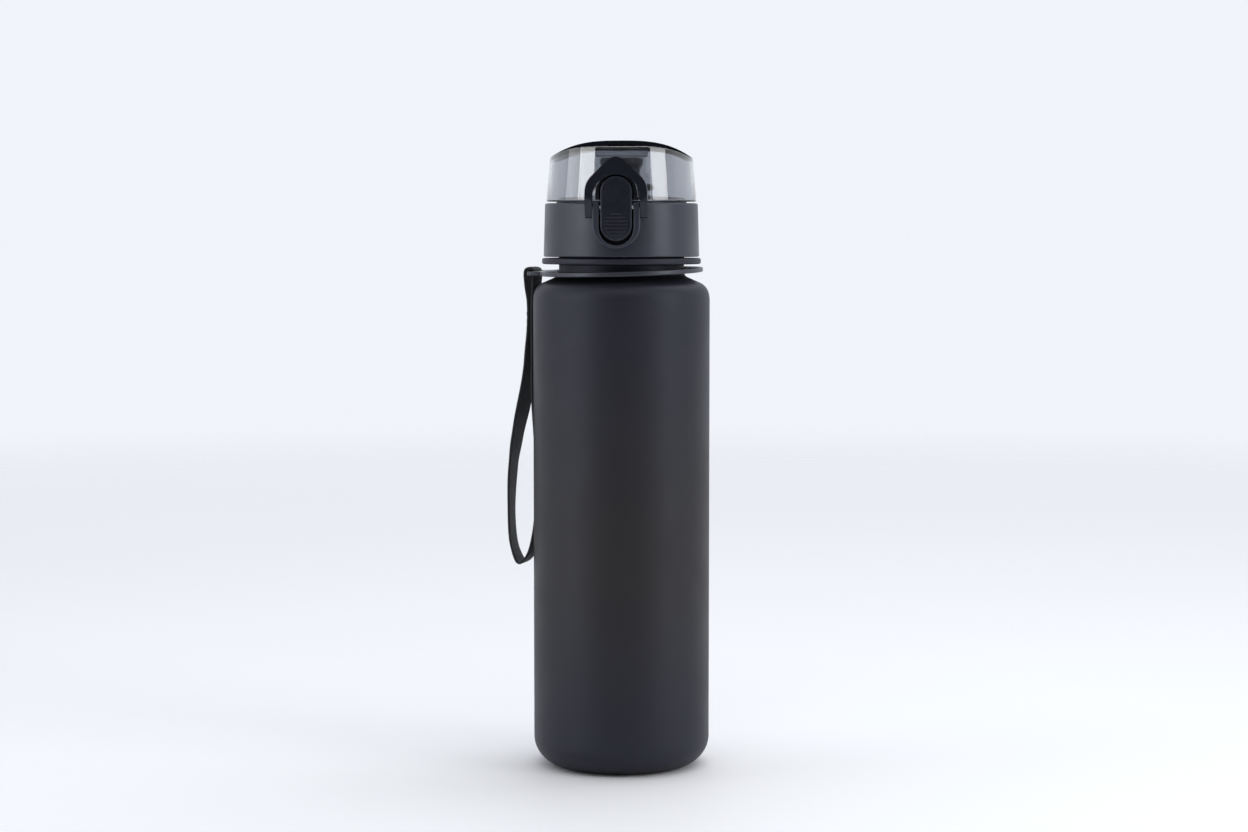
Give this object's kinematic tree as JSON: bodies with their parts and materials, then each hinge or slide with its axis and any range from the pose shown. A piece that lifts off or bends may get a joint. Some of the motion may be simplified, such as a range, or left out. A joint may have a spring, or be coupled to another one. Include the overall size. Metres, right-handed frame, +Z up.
{
  "type": "sports bottle",
  "caption": "Tall straight frosted bottle with a screw-on flip lid: smoked domed cap, push-button latch, lock ring, drinking spout and a webbing wrist strap on a loose neck ring.",
  "frame": {"origin": "centre of the bottle's flat base, in the plane it stands on", "axes": "+Z up along the bottle's axis; the latch button faces -Y, the cap hinge is at +Y and the strap hangs near -X"},
  "size_m": [0.076, 0.0662, 0.2305],
  "materials": {
    "bottle_body": "frosted, soft to the touch, faintly translucent",
    "strap_ring": "satin",
    "webbing": "woven ribbed webbing",
    "collar": "fine satin",
    "gloss_black": "moulded, glossy",
    "button": "semi-gloss with a ribbed grip",
    "seal": "matt",
    "silicone": "translucent silicone",
    "smoked_cap": "clear smoked plastic, polished",
    "steel": "drawn wire"
  },
  "bodies": {
    "bottle": {"bottle_body": "bottle_body"},
    "ring": {"strap_ring": "strap_ring"},
    "strap": {"wrist_strap": "webbing"},
    "gasket": {"neck_gasket": "silicone"},
    "lid": {"lid_collar": "collar", "lid_core": "collar", "spout": "gloss_black", "spout_seal_ring": "seal", "hinge_pin": "steel", "hinge_spring": "steel", "button_pin": "steel", "button_spring": "steel"},
    "cap": {"cap_shell": "smoked_cap", "cap_catch": "gloss_black", "cap_plug": "silicone"},
    "button": {"latch_button": "button"},
    "lock": {"lock_ring": "gloss_black"}
  },
  "joints": [
    {"name": "strap_ring_turn", "type": "hinge", "parent": "bottle", "child": "ring", "pos_m": [0, 0, 0.18265], "axis": [0, 0, 1], "continuous": true},
    {"name": "strap_swing", "type": "hinge", "parent": "ring", "child": "strap", "pos_m": [-0.03344, 0.00741, 0.18195], "axis": [0.2164, 0.9763, 0], "range_deg": [0, 105]},
    {"name": "lid_rise", "type": "slide", "parent": "bottle", "child": "gasket", "axis": [0, 0, 1], "range_m": [0, 0.0121]},
    {"name": "lid_turn", "type": "hinge", "parent": "gasket", "child": "lid", "pos_m": [0, 0, 0.1975], "axis": [0, 0, 1], "range_deg": [0, 1080]},
    {"name": "cap_open", "type": "hinge", "parent": "lid", "child": "cap", "pos_m": [0, 0.0312, 0.2066], "axis": [-1, 0, 0], "range_deg": [0, 125]},
    {"name": "button_press", "type": "hinge", "parent": "lid", "child": "button", "pos_m": [0, -0.0296, 0.2059], "axis": [1, 0, 0], "range_deg": [0, 7], "stiffness_Nm_per_rad": 0.1, "springref_deg": -5.73, "deforming": ["button_spring"]},
    {"name": "lock_flip", "type": "hinge", "parent": "lid", "child": "lock", "pos_m": [0, -0.0293, 0.2033], "axis": [1, 0, 0], "range_deg": [0, 115]}
  ],
  "couplings": [
    {"joint": "lid_rise", "follows": "lid_turn", "m_per_rad": 0.00063662}
  ]
}
